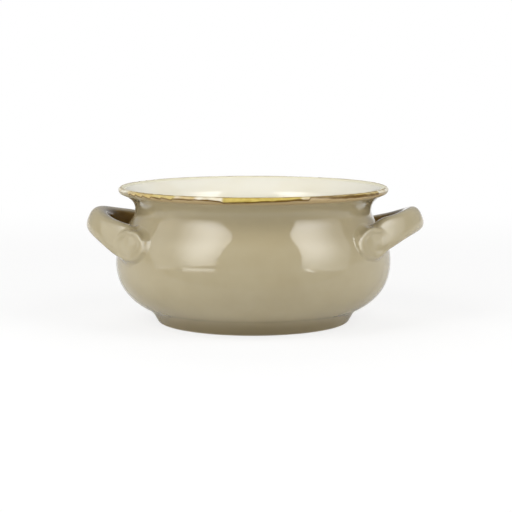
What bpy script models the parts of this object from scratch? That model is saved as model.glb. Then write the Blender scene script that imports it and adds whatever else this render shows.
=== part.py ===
"""Handled round baker in glazed stoneware.

The pot is put together as a potter builds it: a thrown bowl, a foot ring luted under its floor, two strap
handles whose roots are held to the shoulder by thumb-pressed clay pads, a pale lining glaze poured inside,
and a brushed glaze band over the lip. Units are metres. The origin is the middle of the foot's standing
face, +Z is up, +X runs from handle to handle, and the front is towards -Y.
"""

import math

import bmesh
import bpy
from mathutils import Matrix, Vector

# Heights of the glazed outside, each stacked on the one before
FOOT_HEIGHT = 0.0091
BELLY_RISE = 0.0360
SHOULDER_RISE = 0.0391
LIP_RISE = 0.0171

# Radii of the glazed outside, each measured from its neighbour
BELLY_RADIUS = 0.1035
BASE_INSET = 0.0262
SHOULDER_INSET = 0.0145
LIP_REACH = 0.0126
LIP_THICKNESS = 0.0053

# Slopes above the horizontal where the belly leaves the foot and where the lip ends
BASE_SLOPE = math.radians(21)
LIP_SLOPE = math.radians(36)

# How far each curve holds its end direction, as a share of that stretch's own rise
BASE_FULLNESS = 0.40
BELLY_FULLNESS_BELOW = 0.55
BELLY_FULLNESS_ABOVE = 0.61
NECK_FULLNESS_BELOW = 0.25
NECK_FULLNESS_ABOVE = 0.45
LIP_FULLNESS = 0.33
FLOOR_FULLNESS = 0.55

# Clay walls, glaze coats and the slip joint between neighbouring pieces
WALL = 0.0052
FLOOR = 0.0056
FLOOR_CORNER = 0.0200
LINING_COAT = 0.0007
RIM_COAT = 0.0006
JOINT_GAP = 0.0003

# Brushed rim band, measured along the clay from each side of the lip's round edge
RIM_BAND_UNDER = 0.0026
RIM_BAND_INSIDE = 0.0032

# Foot ring
FOOT_TAPER = 0.0052
FOOT_WIDTH = 0.0120
FOOT_EDGE_RADIUS = 0.0016

# Strap handles. Reach is beyond the belly, and root rise is above the belly's widest ring.
LEFT_REACH = 0.0220
RIGHT_REACH = 0.0250
LEFT_TILT = math.radians(24.4)
RIGHT_TILT = math.radians(23)
HANDLE_ROLL = math.radians(-1.5)
ROOT_RISE = 0.0173
LOOP_HALF_SPAN = 0.0492
LOOP_DEPTH = 0.0560
LOOP_SQUARENESS = 2.0
STRAP_WIDTH = 0.0190
STRAP_THICKNESS = 0.0152
STRAP_SQUARENESS = 2.6

# Root pads: round wads of clay pressed against the wall, each turned away from the middle of its handle
PAD_RADIUS = 0.0125
PAD_PROUD = 0.0105
PAD_TURN = math.radians(33)
PAD_LIFT = math.radians(8)
PAD_DROP = 0.0005
PAD_LEAD = 0.0023

# Thumb prints in the faces of the root pads
PRINT_RADIUS = 0.0092
PRINT_DEPTH = 0.0024

# Facets
TURN_SEGMENTS = 56
LONG_CURVE_STEPS = 6
SHORT_CURVE_STEPS = 5
EDGE_STEPS = 6
FOOT_EDGE_STEPS = 3
LOOP_STEPS = 22
STRAP_SIDES = 16
PAD_SEGMENTS = 20
PAD_RINGS = 10
PRINT_SEGMENTS = 16
PRINT_RINGS = 8
MERGE_DISTANCE = 1e-6
ANGLE_STEP = 1e-6

# Glaze colours, as linear light
OUTER_COLOUR = (0.420, 0.360, 0.235)
LINING_COLOUR = (0.860, 0.820, 0.700)
RIM_COLOUR = (0.560, 0.420, 0.140)

# Rings that the outside passes through, as (radius, height)
JOINT_HEIGHT = FOOT_HEIGHT + JOINT_GAP
BASE = Vector((BELLY_RADIUS - BASE_INSET, JOINT_HEIGHT))
BELLY = Vector((BELLY_RADIUS, BASE.y + BELLY_RISE))
NECK = Vector((BELLY_RADIUS - SHOULDER_INSET, BELLY.y + SHOULDER_RISE))
LIP_CENTRE = Vector((NECK.x + LIP_REACH - LIP_THICKNESS / 2, NECK.y + LIP_RISE - LIP_THICKNESS / 2))
LIP_CLAY_RADIUS = LIP_THICKNESS / 2 - RIM_COAT - JOINT_GAP
LIP_DIRECTION = Vector((math.cos(LIP_SLOPE), math.sin(LIP_SLOPE)))
LIP_UP = Vector((-LIP_DIRECTION.y, LIP_DIRECTION.x))
FLOOR_TOP = JOINT_HEIGHT + FLOOR


def glaze(name, colour, roughness):
    """A glossy fired glaze of one colour."""
    material = bpy.data.materials.new(name)
    material.use_nodes = True
    shader = material.node_tree.nodes["Principled BSDF"]
    shader.inputs["Base Color"].default_value = (*colour, 1.0)
    shader.inputs["Roughness"].default_value = roughness
    shader.inputs["Metallic"].default_value = 0.0
    return material


def bezier(start, start_handle, end_handle, end, steps):
    """Points along a cubic curve, both ends included."""
    points = []
    for i in range(steps + 1):
        t = i / steps
        s = 1 - t
        points.append(s**3 * start + 3 * s * s * t * start_handle + 3 * s * t * t * end_handle + t**3 * end)
    return points


def arc(centre, radius, first, last, steps):
    """Points along a circle from one angle to another."""
    angles = [first + (last - first) * i / steps for i in range(steps + 1)]
    return [centre + radius * Vector((math.cos(a), math.sin(a))) for a in angles]


def joined(*stretches):
    """One path from stretches that each start where the last one ended."""
    path = list(stretches[0])
    for stretch in stretches[1:]:
        path += stretch[1:]
    return path


def offset(path, distance):
    """The path moved to its right-hand side, the air side of the clay, with each edge kept parallel."""
    moved = []
    for i, point in enumerate(path):
        before = (path[i] - path[i - 1]).normalized() if i > 0 else None
        after = (path[i + 1] - path[i]).normalized() if i + 1 < len(path) else None
        along = [d for d in (before, after) if d is not None]
        normals = [Vector((d.y, -d.x)) for d in along]
        middle = sum(normals, Vector((0, 0))).normalized()
        moved.append(point + middle * distance / middle.dot(normals[0]))
    return moved


def length_of(path):
    return sum((b - a).length for a, b in zip(path, path[1:]))


def cut_to(path, start, end):
    """The part of a path between two distances along it."""
    kept = []
    travelled = 0.0
    for a, b in zip(path, path[1:]):
        span = (b - a).length
        for distance in (start, end):
            if travelled < distance < travelled + span:
                kept.append((distance, a.lerp(b, (distance - travelled) / span)))
        for distance, point in ((travelled, a), (travelled + span, b)):
            if start <= distance <= end:
                kept.append((distance, point))
        travelled += span
    kept.sort(key=lambda pair: pair[0])
    points = [kept[0][1]]
    for _, point in kept[1:]:
        if (point - points[-1]).length > MERGE_DISTANCE:
            points.append(point)
    return points


def outside_path():
    """Clay outside, from the foot joint over the belly and in at the neck to the lip's underside."""
    lip_under = LIP_CENTRE - LIP_UP * LIP_CLAY_RADIUS
    base_direction = Vector((math.cos(BASE_SLOPE), math.sin(BASE_SLOPE)))
    up = Vector((0, 1))
    lower = bezier(
        BASE,
        BASE + base_direction * BASE_FULLNESS * BELLY_RISE,
        BELLY - up * BELLY_FULLNESS_BELOW * BELLY_RISE,
        BELLY,
        LONG_CURVE_STEPS,
    )
    shoulder = bezier(
        BELLY,
        BELLY + up * BELLY_FULLNESS_ABOVE * SHOULDER_RISE,
        NECK - up * NECK_FULLNESS_BELOW * SHOULDER_RISE,
        NECK,
        LONG_CURVE_STEPS,
    )
    flare = bezier(
        NECK,
        NECK + up * NECK_FULLNESS_ABOVE * LIP_RISE,
        lip_under - LIP_DIRECTION * LIP_FULLNESS * LIP_RISE,
        lip_under,
        SHORT_CURVE_STEPS,
    )
    return joined(lower, shoulder, flare)


def lip_edge_path():
    """The round edge of the clay lip, from its underside over to its top."""
    return arc(LIP_CENTRE, LIP_CLAY_RADIUS, LIP_SLOPE - math.pi / 2, LIP_SLOPE + math.pi / 2, EDGE_STEPS)


def inside_path():
    """Clay inside, from the top of the lip down the wall to the middle of the floor."""
    lip_over = LIP_CENTRE + LIP_UP * LIP_CLAY_RADIUS
    inner_neck = NECK - Vector((WALL, 0))
    inner_belly = BELLY - Vector((WALL, 0))
    floor_edge = Vector((BASE.x - FLOOR_CORNER, FLOOR_TOP))
    corner_width = inner_belly.x - floor_edge.x
    corner_rise = inner_belly.y - floor_edge.y
    up = Vector((0, 1))
    flare = bezier(
        lip_over,
        lip_over - LIP_DIRECTION * LIP_FULLNESS * LIP_RISE,
        inner_neck + up * NECK_FULLNESS_ABOVE * LIP_RISE,
        inner_neck,
        SHORT_CURVE_STEPS,
    )
    shoulder = bezier(
        inner_neck,
        inner_neck - up * NECK_FULLNESS_BELOW * SHOULDER_RISE,
        inner_belly + up * BELLY_FULLNESS_ABOVE * SHOULDER_RISE,
        inner_belly,
        SHORT_CURVE_STEPS,
    )
    corner = bezier(
        inner_belly,
        inner_belly - up * BELLY_FULLNESS_BELOW * corner_rise,
        floor_edge + Vector((FLOOR_FULLNESS * corner_width, 0)),
        floor_edge,
        LONG_CURVE_STEPS,
    )
    return joined(flare, shoulder, corner, [floor_edge, Vector((0, FLOOR_TOP))])


def wall_radius(height):
    """Radius of the bowl's outside at a height."""
    path = outside_path()
    for a, b in zip(path, path[1:]):
        if height <= b.y:
            return a.lerp(b, (height - a.y) / (b.y - a.y)).x
    return path[-1].x


def add_object(name, mesh, material):
    """A new object of the mesh, with its faces pointing out and round stretches shaded smooth."""
    mesh.materials.append(material)
    mesh.shade_smooth()
    mesh.set_sharp_from_angle(angle=math.radians(40))
    made = bpy.data.objects.new(name, mesh)
    bpy.context.scene.collection.objects.link(made)
    return made


def mesh_of(name, shape):
    """A mesh from an edited shape, which is then freed."""
    bmesh.ops.recalc_face_normals(shape, faces=shape.faces)
    mesh = bpy.data.meshes.new(name)
    shape.to_mesh(mesh)
    shape.free()
    return mesh


def turned(name, path, closed, material):
    """A piece spun about the pot's axis, from a ring's closed section or a path that ends on the axis."""
    shape = bmesh.new()
    points = [shape.verts.new((p.x, 0, p.y)) for p in path]
    pairs = list(zip(points, points[1:]))
    if closed:
        pairs.append((points[-1], points[0]))
    edges = [shape.edges.new(pair) for pair in pairs]
    bmesh.ops.spin(
        shape,
        geom=points + edges,
        cent=(0, 0, 0),
        axis=(0, 0, 1),
        angle=2 * math.pi,
        steps=TURN_SEGMENTS,
        use_merge=True,
    )
    bmesh.ops.remove_doubles(shape, verts=shape.verts, dist=MERGE_DISTANCE)
    return add_object(name, mesh_of(name, shape), material)


def ellipsoid(name, radii, segments, rings, placing, material):
    """A flattened ball with its pole along its own Z, set in place by a matrix."""
    shape = bmesh.new()
    bmesh.ops.create_uvsphere(shape, u_segments=segments, v_segments=rings, radius=1)
    bmesh.ops.scale(shape, vec=radii, verts=shape.verts)
    made = add_object(name, mesh_of(name, shape), material)
    made.matrix_world = placing
    return made


def cut(piece, cutter):
    """Takes the cutter's shape out of the piece, and hides the cutter."""
    change = piece.modifiers.new(cutter.name, "BOOLEAN")
    change.operation = "DIFFERENCE"
    change.solver = "EXACT"
    change.object = cutter
    cutter.hide_render = True
    cutter.display_type = "WIRE"


def bowl_body(material):
    path = joined([Vector((0, JOINT_HEIGHT)), BASE], outside_path(), lip_edge_path(), inside_path())
    return turned("bowl_body", path, False, material)


def foot_ring(material):
    """A tapered ring with a flat standing face, its bottom edges rounded."""
    batter = math.atan2(FOOT_TAPER, FOOT_HEIGHT)
    edge = FOOT_EDGE_RADIUS
    outer_centre = BASE.x + (math.sin(batter) * (edge - FOOT_HEIGHT) - edge) / math.cos(batter)
    inner_radius = BASE.x - FOOT_TAPER - FOOT_WIDTH
    outer = arc(Vector((outer_centre, edge)), edge, -batter, -math.pi / 2, FOOT_EDGE_STEPS)
    inner = arc(Vector((inner_radius + edge, edge)), edge, -math.pi / 2, -math.pi, FOOT_EDGE_STEPS)
    top = [Vector((inner_radius, FOOT_HEIGHT)), Vector((BASE.x, FOOT_HEIGHT))]
    return turned("foot_ring", top + outer + inner, True, material)


def coat(name, path, thickness, material):
    """A glaze coat of even thickness over a stretch of the clay, clear of it by the joint gap."""
    under = offset(path, JOINT_GAP)
    over = offset(path, JOINT_GAP + thickness)
    ends_on_axis = path[-1].x < MERGE_DISTANCE
    section = over + under[::-1] if not ends_on_axis else over[::-1] + under
    return turned(name, section, not ends_on_axis, material)


def rim_glaze_band(material):
    under = outside_path()
    lip = joined(under, lip_edge_path(), inside_path())
    start = length_of(under) - RIM_BAND_UNDER
    end = length_of(under) + length_of(lip_edge_path()) + RIM_BAND_INSIDE
    return coat("rim_glaze_band", cut_to(lip, start, end), RIM_COAT, material)


def lining_glaze(material):
    path = inside_path()
    start = RIM_BAND_INSIDE + JOINT_GAP
    return coat("lining_glaze", cut_to(path, start, length_of(path)), LINING_COAT, material)


def superellipse(half_width, half_height, squareness, angle):
    """A point on an oval whose corners fill out as the squareness grows past 2."""
    c, s = math.cos(angle), math.sin(angle)
    share = 2 / squareness
    return (
        half_width * math.copysign(abs(c) ** share, c),
        half_height * math.copysign(abs(s) ** share, s),
    )


def strap_overhang(tilt):
    """How far a tilted strap section stands out, sideways, from its own centre line."""
    power = STRAP_SQUARENESS / (STRAP_SQUARENESS - 1)
    across = (STRAP_THICKNESS / 2 * math.cos(tilt)) ** power
    up = (STRAP_WIDTH / 2 * math.sin(tilt)) ** power
    return (across + up) ** (1 / power)


def handle_frame(reach, tilt, azimuth):
    """Place of a handle's loop: its X runs out along the tilted loop, its Y across it from arm to arm."""
    height = BELLY.y + ROOT_RISE
    middle = BELLY_RADIUS + reach - strap_overhang(tilt) - LOOP_DEPTH * math.cos(tilt)
    root = math.sqrt(wall_radius(height) ** 2 - LOOP_HALF_SPAN**2)
    start = Vector((middle, 0, height - (root - middle) * math.tan(tilt)))
    turn = Matrix.Rotation(azimuth, 4, "Z")
    lean = Matrix.Rotation(-tilt, 4, "Y") @ Matrix.Rotation(HANDLE_ROLL, 4, "X")
    return turn @ Matrix.Translation(start) @ lean


def loop_point(angle):
    """A point on a strap's centre line in its own loop plane, at 0 in the middle of the grip."""
    return Vector(superellipse(LOOP_DEPTH, LOOP_HALF_SPAN, LOOP_SQUARENESS, angle))


def loop_path():
    """Half an oval, whose two ends lie inside the bowl, where the wall trims them."""
    return [loop_point(math.pi * (i / LOOP_STEPS - 0.5)) for i in range(LOOP_STEPS + 1)]


def strap(name, frame, material):
    """A rounded strap carried along the loop, its arms running on into the wall."""
    path = loop_path()
    shape = bmesh.new()
    rings = []
    for i, point in enumerate(path):
        along = (path[min(i + 1, len(path) - 1)] - path[max(i - 1, 0)]).normalized()
        side = Vector((along.y, -along.x))
        ring = []
        for k in range(STRAP_SIDES):
            angle = 2 * math.pi * (k + 0.5) / STRAP_SIDES
            across, up = superellipse(STRAP_THICKNESS / 2, STRAP_WIDTH / 2, STRAP_SQUARENESS, angle)
            spot = point + side * across
            ring.append(shape.verts.new((spot.x, spot.y, up)))
        rings.append(ring)
    for ring, following in zip(rings, rings[1:]):
        for k in range(STRAP_SIDES):
            nxt = (k + 1) % STRAP_SIDES
            shape.faces.new((ring[k], ring[nxt], following[nxt], following[k]))
    shape.faces.new(rings[0][::-1])
    shape.faces.new(rings[-1])
    made = add_object(name, mesh_of(name, shape), material)
    made.matrix_world = frame
    return made


def root_point(frame, side):
    """Where the centre line of one arm comes out of the wall. Side is -1 or 1 along the loop's own Y."""
    outer = 0.0
    inner = math.pi / 2
    while inner - outer > ANGLE_STEP:
        middle = (inner + outer) / 2
        spot = frame @ loop_point(side * middle).to_3d()
        if math.hypot(spot.x, spot.y) < wall_radius(spot.z):
            inner = middle
        else:
            outer = middle
    return frame @ loop_point(side * outer).to_3d()


def pad_placing(root, side):
    """Matrix of a root pad: its middle on the wall, just past the arm's root, its Z out of its pressed face."""
    bearing = math.atan2(root.y, root.x)
    lead = Matrix.Rotation(side * PAD_LEAD / root.xy.length, 4, "Z")
    turn = Matrix.Rotation(bearing + side * PAD_TURN, 4, "Z") @ Matrix.Rotation(math.pi / 2 - PAD_LIFT, 4, "Y")
    return Matrix.Translation(lead @ root - Vector((0, 0, PAD_DROP))) @ turn


def pad_radii(clearance):
    return Vector((PAD_RADIUS, PAD_RADIUS, PAD_PROUD)) + Vector((1, 1, 1)) * clearance


def wall_clearance(material):
    """Everything inside the bowl's outside, grown by the joint gap: what a pad or a handle stays out of."""
    path = offset(outside_path(), JOINT_GAP)
    ends = [Vector((0, path[0].y))], [Vector((0, path[-1].y))]
    return turned("wall_clearance", ends[0] + path + ends[1], False, material)


def handle(side_name, reach, tilt, azimuth, wall, material):
    """A strap handle and the two thumb-pressed pads that hold its roots to the wall."""
    frame = handle_frame(reach, tilt, azimuth)
    loop = strap(f"{side_name}_handle", frame, material)
    cut(loop, wall)
    for side in (-1, 1):
        root = root_point(frame, side)
        end = "front" if root.y < 0 else "rear"
        pad_name = f"{side_name}_{end}_root_pad"
        placing = pad_placing(root, side)
        pad = ellipsoid(pad_name, pad_radii(0), PAD_SEGMENTS, PAD_RINGS, placing, material)
        cut(pad, wall)
        seat = ellipsoid(
            f"{pad_name}_seat", pad_radii(JOINT_GAP), PAD_SEGMENTS, PAD_RINGS, placing, material
        )
        cut(loop, seat)
        thumb = ellipsoid(
            f"{pad_name}_thumb_print",
            (PRINT_RADIUS, PRINT_RADIUS, PRINT_DEPTH),
            PRINT_SEGMENTS,
            PRINT_RINGS,
            placing @ Matrix.Translation((0, 0, PAD_PROUD)),
            material,
        )
        cut(pad, thumb)


def main():
    for old in list(bpy.data.objects):
        bpy.data.objects.remove(old)
    outer_glaze = glaze("outer_glaze", OUTER_COLOUR, 0.15)
    bowl_body(outer_glaze)
    foot_ring(outer_glaze)
    lining_glaze(glaze("lining_glaze", LINING_COLOUR, 0.12))
    rim_glaze_band(glaze("rim_glaze", RIM_COLOUR, 0.18))
    wall = wall_clearance(outer_glaze)
    handle("left", LEFT_REACH, LEFT_TILT, math.pi, wall, outer_glaze)
    handle("right", RIGHT_REACH, RIGHT_TILT, 0.0, wall, outer_glaze)


main()
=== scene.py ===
"""Looks of a handled round baker: taupe glazed stoneware, a cream lining and a brushed ochre rim.

Every piece is a surface on a grid of two parameters, worked out as whole arrays and set into a mesh. Units
are metres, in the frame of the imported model: +Z up, +X towards the right handle, the front towards -Y.
"""

import math
from collections import namedtuple

import bpy
import numpy as np
from mathutils import Matrix, Vector


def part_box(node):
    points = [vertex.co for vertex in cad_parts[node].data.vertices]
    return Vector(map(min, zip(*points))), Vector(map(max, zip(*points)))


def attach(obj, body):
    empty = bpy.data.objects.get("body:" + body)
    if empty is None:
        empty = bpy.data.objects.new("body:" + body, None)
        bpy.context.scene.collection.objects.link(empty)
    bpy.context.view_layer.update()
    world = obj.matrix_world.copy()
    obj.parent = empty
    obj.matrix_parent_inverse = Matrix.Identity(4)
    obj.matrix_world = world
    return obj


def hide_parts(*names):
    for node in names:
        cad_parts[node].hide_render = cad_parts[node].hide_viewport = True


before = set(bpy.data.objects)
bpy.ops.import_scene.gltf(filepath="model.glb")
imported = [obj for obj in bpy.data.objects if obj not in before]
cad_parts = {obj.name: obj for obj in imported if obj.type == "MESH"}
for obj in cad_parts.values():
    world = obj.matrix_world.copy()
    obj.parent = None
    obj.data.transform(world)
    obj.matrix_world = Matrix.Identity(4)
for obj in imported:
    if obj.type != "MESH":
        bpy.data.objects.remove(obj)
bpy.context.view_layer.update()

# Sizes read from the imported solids
BOWL_LOW, BOWL_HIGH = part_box("bowl_body")
RIM_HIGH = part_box("rim_glaze_band")[1]
BELLY_RADIUS = BOWL_HIGH.y
JOINT_HEIGHT = BOWL_LOW.z
RIM_TOP = RIM_HIGH.z
RIM_RADIUS = RIM_HIGH.x
BASE_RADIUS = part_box("foot_ring")[1].x
LEFT_REACH = -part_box("left_handle")[0].x
RIGHT_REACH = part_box("right_handle")[1].x

# Profile of the pot
BELLY_RISE = 0.0360
SHOULDER_RISE = 0.0391
SHOULDER_INSET = 0.0145
LIP_THICKNESS = 0.0053
BASE_SLOPE = math.radians(21)
LIP_SLOPE = math.radians(36)
BASE_FULLNESS = 0.40
BELLY_FULLNESS_BELOW = 0.55
BELLY_FULLNESS_ABOVE = 0.61
NECK_FULLNESS_BELOW = 0.25
NECK_FULLNESS_ABOVE = 0.45
LIP_FULLNESS = 0.33
FLOOR_FULLNESS = 0.55
WALL = 0.0052
FLOOR = 0.0056
FLOOR_CORNER = 0.0200
FOOT_TAPER = 0.0052
FOOT_WIDTH = 0.0120
FOOT_INNER = BASE_RADIUS - FOOT_TAPER - FOOT_WIDTH
FOOT_EDGE = 0.0019
FOOT_FILLET = 0.0030
BASE_FILLET = 0.0051
BASE_FILLET_PULL = 0.37

# Heights on the foot's edge up to which its glaze is wiped off, in part and in full
WIPED_TOP = 0.0011
WIPED_FULL = 0.0003

# Coats over the clay
RIM_COAT = 0.0008
RIM_UNDER = 0.0034
RIM_INSIDE = 0.0040
LINING_COAT = 0.0005
COAT_BURIED = 0.0003
LIP_CLAY = LIP_THICKNESS / 2 - RIM_COAT
RIM_LENGTH = RIM_UNDER + RIM_INSIDE + math.pi * LIP_CLAY

# Depth of the rim's coat: how far its edges are sunk, the shares of the way across at which it is full, its
# share of the full depth under the brown line, the step up past the line, and the loss between scallops
RIM_EDGE_SUNK = 0.00015
RIM_FULL = (0.22, 0.72)
RIM_UNDER_LINE = 0.55
RIM_LINE_STEP = (-0.07, 0.03)
RIM_SCALLOP_LOSS = 0.28

# Strap handles
ROOT_RISE = 0.0173
LOOP_HALF_SPAN = 0.0492
LOOP_DEPTH = 0.0560
STRAP_WIDTH = 0.0190
STRAP_THICKNESS = 0.0152
STRAP_SQUARENESS = 2.5
PADDLE_SPREAD_UNDER = 0.0026
PADDLE_SPREAD_OVER = 0.0034
PADDLE_DROP = 0.0080
PADDLE_DROP_END = 0.0110
PADDLE_SQUARENESS = 0.9
PADDLE_LENGTH = 0.0180
REACH_MARGIN = 0.0002

# What sets the two handles apart. Their roots go by the side of the loop that they are on: on the left handle
# 1 is the front root and -1 the rear one, on the right handle the other way round. A paddle's slope starts at
# a distance past its root, and the discs sit a lead along the wall and a rise up from the roots. The marks
# are the bumps and dents left in each disc: place towards the arm and up, radius, height.
Handle = namedtuple("Handle", "reach azimuth tilt roll slope_starts disc_seat marks")
LEFT_HANDLE = Handle(
    reach=LEFT_REACH,
    azimuth=math.pi,
    tilt=math.radians(24.4),
    roll=math.radians(-1.5),
    slope_starts={1: -0.0020, -1: -0.0020},
    disc_seat=(0.0103, 0.0003),
    marks={
        1: ((-0.0020, -0.0045, 0.0036, -0.0004), (0.0060, 0.0040, 0.0030, -0.0003)),
        -1: ((0.0030, 0.0010, 0.0030, 0.0004), (-0.0010, -0.0050, 0.0035, -0.0004)),
    },
)
RIGHT_HANDLE = Handle(
    reach=RIGHT_REACH,
    azimuth=0.0,
    tilt=math.radians(23),
    roll=math.radians(-4.8),
    slope_starts={-1: -0.0170, 1: -0.0020},
    disc_seat=(0.0088, -0.0019),
    marks={
        -1: (
            (0.0077, 0.0022, 0.0019, -0.0010),
            (0.0043, -0.0008, 0.0024, 0.0006),
            (0.0000, -0.0062, 0.0040, -0.0005),
        ),
        1: ((0.0020, 0.0030, 0.0035, -0.0004), (-0.0030, -0.0020, 0.0030, 0.0004)),
    },
)

# Thumb-pressed discs at the handle roots
DISC_CREST = 0.0098
DISC_RADIUS = 0.0113
DISC_STRETCH = 1.34
DISC_EDGE = 0.0011
DISC_HOLLOW = 0.0014
DISC_HOLLOW_RADIUS = 0.60 * DISC_CREST
DISC_DEPTH = 0.0140
DISC_PROUD = 0.0066
DISC_TURN = math.radians(24)
DISC_LIFT = math.radians(6)
DISC_BLEND = 0.0026
DISC_FADE = 0.0016

# Ridge of smeared clay round each disc, on the wall; its crest, its groove and its top by share of its oval
RIDGE_HEIGHT = 0.0020
RIDGE_HALF_LENGTH = 0.0192
RIDGE_HALF_HEIGHT = 0.0140
RIDGE_CREST = 0.77
RIDGE_GROOVE = 0.5
RIDGE_GROOVE_EDGE = 0.6
RIDGE_TOP = (0.75, 0.25)
RIDGE_FADE = 0.0100

# Where the strap runs out on to the wall, and the lines that close its end inside the clay
LEAVE_FRONT = 0.0240
LEAVE_SIDE = 0.0220
LEAVE_BACK = 0.0170
LAND_HALF_LENGTH = 0.0270
LAND_OVER = 0.0152
LAND_UNDER = 0.0205
LAND_LEAD = 0.0045
LAND_SINK = 0.0001
CAP_DEPTH = 0.0014
CAP_SIZES = (0.3, 0.6, 0.9)
WALL_BLEND = 0.0042

# How a root's skin is carried on to its shape: rounds, steps and limits, and by share of the way from wall to
# strap, where it stays sunk and where it is evened out
DISC_RISE_ROUNDS = 16
SETTLE_ROUNDS = 10
LAST_ROUNDS = 5
HALVINGS = 44
NEAREST_ROUNDS = 5
MOST_TURN = 0.3
TURN_STEP = 1e-3
WALL_STEP = 0.0004
FIELD_STEP = 2e-5
LEAST_SLOPE = 0.05
MOST_MOVE = 0.0015
STAYS_SUNK = (0.30, 0.10)
EVENING = 0.5
EVENED_FROM = 0.04
EVENED_TO = 0.90

# Painted shade on a strap's inner side: by share of the way off the wall, and by how far a face turns inwards
SHADE_OFF_WALL = (0.05, 0.60)
SHADE_INWARD = (-0.10, 0.60)

# Grid counts
POT_COLUMNS = 288
RIM_COLUMNS = 1080
RIM_ROWS = 44
LINING_COLUMNS = 192
STRAP_COLUMNS = 168
FILLET_ROWS = 84
ARM_ROWS = 26
GRIP_ROWS = 60
ARM_SHARE = 0.28

# Hand-made unevenness of the turned wall: height of each wave, waves round the pot, turns per metre up, phase
WAVES = (
    (0.00006, 2, 6.0, 0.4),
    (0.00006, 3, -9.0, 1.9),
    (0.00004, 7, 22.0, 0.9),
    (0.00003, 13, -30.0, 2.6),
)
WAVE_MARGIN = 0.00022

# Ways the rim was brushed: the line's angle over the level on the lip's round at the start and the end of a
# stretch, and the depth of its scallops, all in degrees; the line's half width and darkness; and how full
# ochre, pink and gold lie over the cream
Brush = namedtuple("Brush", "start end scallop width dark ochre pink gold")
BRUSHES = {
    "cream": Brush(12, -4, 0, 0.00062, 0.90, 0.12, 0.35, 0.0),
    "straw": Brush(16, 12, 0, 0.00050, 0.35, 0.14, 0.12, 0.1),
    "peach": Brush(8, 7, 0, 0.00055, 0.85, 0.20, 0.80, 0.0),
    "pink_scallops": Brush(18, 14, 34, 0.00058, 0.80, 0.55, 0.85, 0.15),
    "ochre_scallops": Brush(12, 12, 24, 0.00060, 0.90, 0.85, 0.30, 0.10),
    "mustard": Brush(-30, 13, 0, 0.00074, 1.00, 1.00, 0.0, 0.0),
    "sliver": Brush(8, 6, 0, 0.00060, 0.85, 0.30, 0.20, 0.0),
    "gold": Brush(56, 30, 0, 0.00085, 0.85, 0.90, 0.0, 0.75),
    "blotched": Brush(28, 9, 6, 0.00112, 1.0, 0.85, 0.10, 0.50),
}

# The stretches round the rim: where each starts, in degrees right of the front, and how it was brushed
BRUSHWORK = (
    (-180.0, "gold"), (-168.0, "mustard"), (-140.0, "peach"), (-130.0, "pink_scallops"),
    (-112.0, "mustard"), (-90.0, "straw"), (-64.0, "pink_scallops"), (-44.6, "ochre_scallops"),
    (-33.0, "peach"), (-24.0, "cream"), (-12.4, "mustard"), (19.5, "sliver"), (23.0, "gold"),
    (36.0, "blotched"), (64.0, "straw"), (92.0, "ochre_scallops"), (108.0, "mustard"),
    (134.0, "cream"), (146.0, "pink_scallops"), (164.0, "gold"),
)
BRUSH_EASE = 0.9

# Scallops where strokes overlap: how many go round half the rim, how their spacing drifts (size, waves round
# the rim, phase), how each swells along its stroke and where it ends, and the depth that counts as a full one
SCALLOPS = 36.0
SCALLOP_DRIFT = (1.1, 5.0, 0.5)
SCALLOP_SWELL = 0.8
SCALLOP_END = 0.84
SCALLOP_FULL = 40.0

# Unsteadiness of the brush: a seed for the phases, the waves round the rim and the size of each
Waver = namedtuple("Waver", "seed counts sizes")
LINE_DRIFT = Waver(11, (9, 17, 31, 53), (1.6, 1.6, 2.0, 1.6))
LINE_SWELL = Waver(5, (13, 29, 47), (0.00008, 0.00008, 0.00006))
LINE_FADE = Waver(7, (11, 23, 61), (0.08, 0.08, 0.08))
LINE_LEAST_DARK = 0.3
BLOTCHES = Waver(3, (15, 37, 71), (0.2, 0.2, 0.2))
OCHRE_BLOTCHES = 0.4
PINK_BLOTCHES = 0.5

# The fine line inside the lip: its angle over the level and how far that rises towards the back, in degrees,
# its half width, and its darkness on bare cream, as gained under colour and at the least
INNER_ANGLE = 76.0
INNER_RISE = 16.0
INNER_RISES_FROM, INNER_RISES_TO = 70.0, 120.0
INNER_WIDTH = 0.00072
INNER_SWELL = Waver(13, (10, 27, 59), (0.00008, 0.00006, 0.00006))
INNER_FADE = Waver(9, (12, 25, 67), (0.18, 0.16, 0.12))
INNER_DARK = 0.28
INNER_DARK_GAIN = 0.6
INNER_LEAST_DARK = 0.15

# The blush under the rim: how full it is, and where it comes in and goes out, in degrees right of the front
BLUSH = 0.7
BLUSH_STARTS = (-62.0, -40.0)
BLUSH_ENDS = (80.0, 66.0)

# Camera, from the photograph's framing
IMAGE_SIZE = 512
FOCAL_PIXELS = 1531.2
CENTRE_PIXEL = (253.30, 252.56)
CAMERA_DISTANCE = 1.1484
CAMERA_HEIGHT = 0.196
AIM_HEIGHT = 0.051
SENSOR = 36.0

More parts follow.
